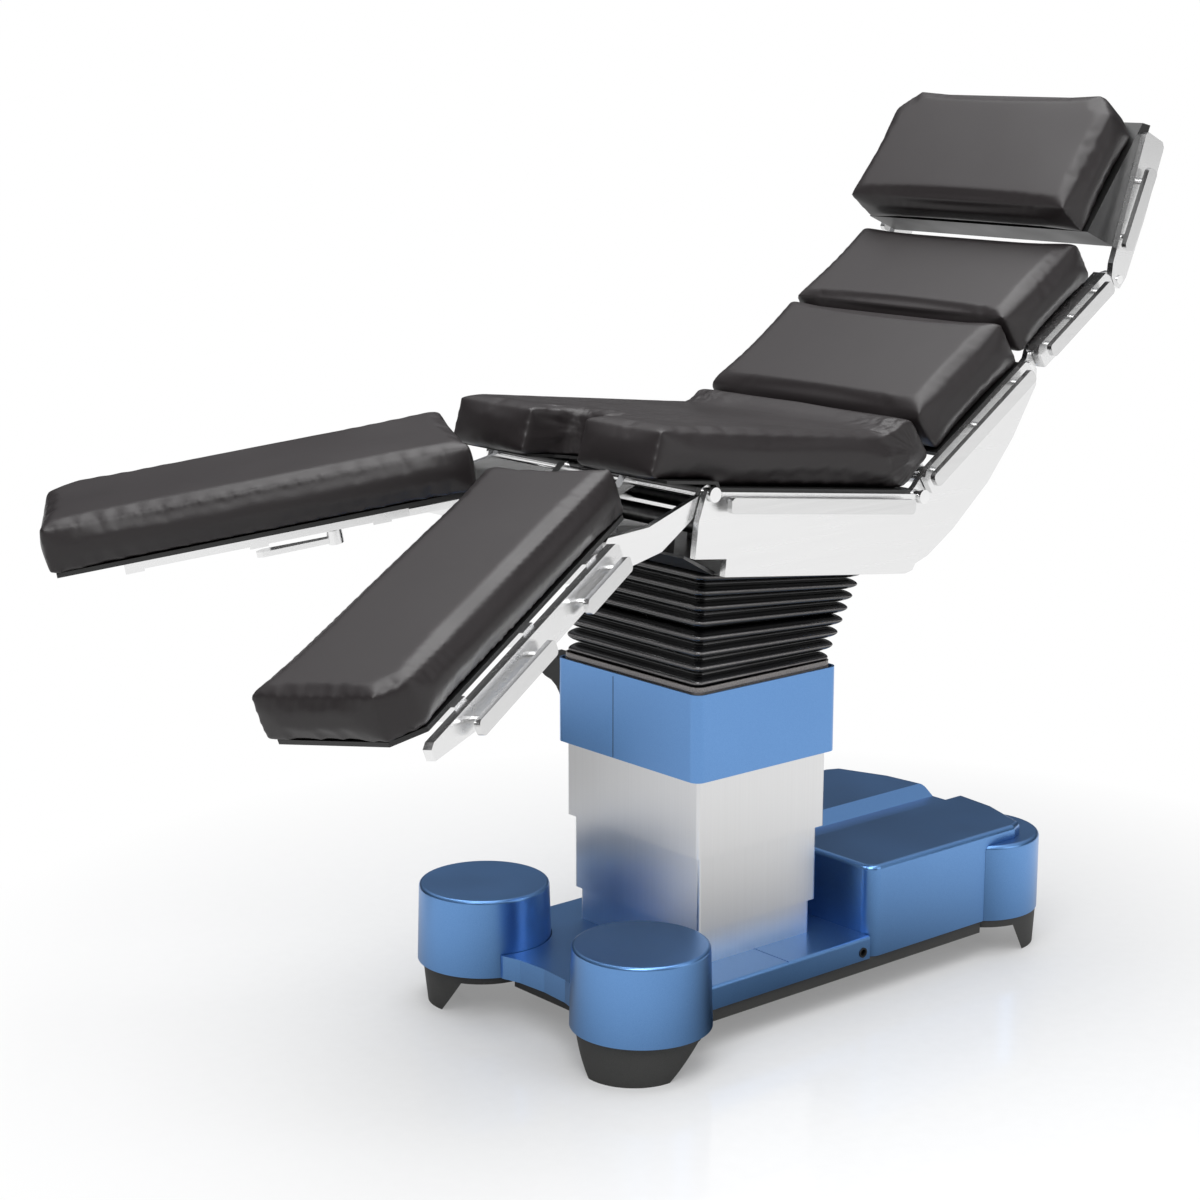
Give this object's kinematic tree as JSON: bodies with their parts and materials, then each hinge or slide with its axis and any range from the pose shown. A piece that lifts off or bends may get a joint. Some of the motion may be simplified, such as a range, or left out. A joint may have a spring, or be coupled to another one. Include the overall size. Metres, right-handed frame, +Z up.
{
  "type": "operating table",
  "caption": "Operating table with a telescopic column on a low painted base and a padded top in seat, back, head and swing-out leg sections.",
  "frame": {"origin": "on the floor under the lifting column's axis", "axes": "+Z up, +X toward the head end, -Y the near side"},
  "size_m": [1.9435, 1.0768, 1.551],
  "materials": {
    "blue_paint": "semi-gloss metallic",
    "steel": "brushed stainless",
    "polished": "polished shafts and pins",
    "dark_plastic": "matte dark grey",
    "bellows_rubber": "glossy black",
    "upholstery": "satin black vinyl"
  },
  "bodies": {
    "base": {"deck_cover": "blue_paint", "service_socket": "dark_plastic", "base_skirt": "dark_plastic", "chassis_plate": "steel", "lift_cylinder": "steel", "housing_cover": "blue_paint", "drum_cover_near": "blue_paint", "drum_cover_far": "blue_paint", "drum_foot_near": "dark_plastic", "drum_foot_far": "dark_plastic", "pod_cover_near": "blue_paint", "pod_cover_far": "blue_paint", "pod_foot_near": "dark_plastic", "pod_foot_far": "dark_plastic", "column_lower": "steel"},
    "middle_stage": {"column_middle": "steel"},
    "column": {"column_upper": "steel", "collar": "blue_paint", "collar_trim": "steel", "holder_bracket": "dark_plastic", "lift_ram": "polished", "column_head": "steel", "bellows": "bellows_rubber"},
    "gimbal": {"gimbal_block": "steel"},
    "seat": {"seat_tray": "steel", "seat_cross_tubes": "steel", "side_panel_near": "steel", "side_panel_far": "steel", "bellows_flange": "bellows_rubber", "seat_board": "dark_plastic", "seat_pad": "upholstery", "seat_rails": "steel", "leg_hinge_shaft": "polished", "back_hinge_shaft": "polished"},
    "lower_back": {"lower_back_frame": "steel", "lower_back_board": "dark_plastic", "lower_back_pad": "upholstery", "lower_back_rails": "steel", "split_pins": "polished"},
    "upper_back": {"upper_back_frame": "steel", "upper_back_board": "dark_plastic", "upper_back_pad": "upholstery", "upper_back_rails": "steel", "head_pins": "polished"},
    "head": {"head_frame": "steel", "head_board": "dark_plastic", "head_pad": "upholstery", "head_rails": "steel"},
    "link_near": {"leg_link_near": "steel"},
    "leg_near": {"leg_frame_near": "steel", "leg_board_near": "dark_plastic", "leg_pad_near": "upholstery", "leg_rails_near": "steel"},
    "lever_near": {"lock_lever_near": "steel"},
    "link_far": {"leg_link_far": "steel"},
    "leg_far": {"leg_frame_far": "steel", "leg_board_far": "dark_plastic", "leg_pad_far": "upholstery", "leg_rails_far": "steel"},
    "lever_far": {"lock_lever_far": "steel"}
  },
  "joints": [
    {"name": "column_lift", "type": "slide", "parent": "base", "child": "column", "axis": [0, 0, 1], "range_m": [-0.18, 0.1]},
    {"name": "middle_stage_lift", "type": "slide", "parent": "base", "child": "middle_stage", "axis": [0, 0, 1], "range_m": [-0.054, 0.03]},
    {"name": "lateral_tilt", "type": "hinge", "parent": "column", "child": "gimbal", "pos_m": [0, 0, 0.705], "axis": [1, 0, 0], "range_deg": [-15, 15], "deforming": ["bellows"]},
    {"name": "length_tilt", "type": "hinge", "parent": "gimbal", "child": "seat", "pos_m": [0, 0, 0.705], "axis": [0, 1, 0], "range_deg": [-25, 13], "deforming": ["bellows"]},
    {"name": "back_lift", "type": "hinge", "parent": "seat", "child": "lower_back", "pos_m": [0.25998, 0, 0.89182], "axis": [0, -1, 0], "range_deg": [-60, 0]},
    {"name": "upper_back_lift", "type": "hinge", "parent": "lower_back", "child": "upper_back", "pos_m": [0.54767, 0, 1.08224], "axis": [0, -1, 0], "range_deg": [-40, 0]},
    {"name": "head_lift", "type": "hinge", "parent": "upper_back", "child": "head", "pos_m": [0.76448, 0, 1.22574], "axis": [0, -1, 0], "range_deg": [-70, 1]},
    {"name": "leg_pitch_near", "type": "hinge", "parent": "seat", "child": "link_near", "pos_m": [-0.222, -0.17, 0.951], "axis": [0, 1, 0], "range_deg": [-24, 27]},
    {"name": "leg_splay_near", "type": "hinge", "parent": "link_near", "child": "leg_near", "pos_m": [-0.40921, -0.12, 0.88063], "axis": [-0.3518, 0, 0.9361], "range_deg": [-19.5, 11]},
    {"name": "lock_lever_near", "type": "hinge", "parent": "leg_near", "child": "lever_near", "pos_m": [-0.61426, -0.13732, 0.8089], "axis": [-0.3518, 0, 0.9361], "range_deg": [-40, 20]},
    {"name": "leg_pitch_far", "type": "hinge", "parent": "seat", "child": "link_far", "pos_m": [-0.222, 0.17, 0.951], "axis": [0, 1, 0], "range_deg": [-32, 18]},
    {"name": "leg_splay_far", "type": "hinge", "parent": "link_far", "child": "leg_far", "pos_m": [-0.41763, 0.12, 0.90942], "axis": [0.2079, 0, -0.9781], "range_deg": [-31.5, 0.5]},
    {"name": "lock_lever_far", "type": "hinge", "parent": "leg_far", "child": "lever_far", "pos_m": [-0.62272, 0.18282, 0.87094], "axis": [-0.2079, 0, 0.9781], "range_deg": [-40, 20]}
  ],
  "couplings": [
    {"joint": "middle_stage_lift", "follows": "column_lift", "ratio": 0.3}
  ]
}
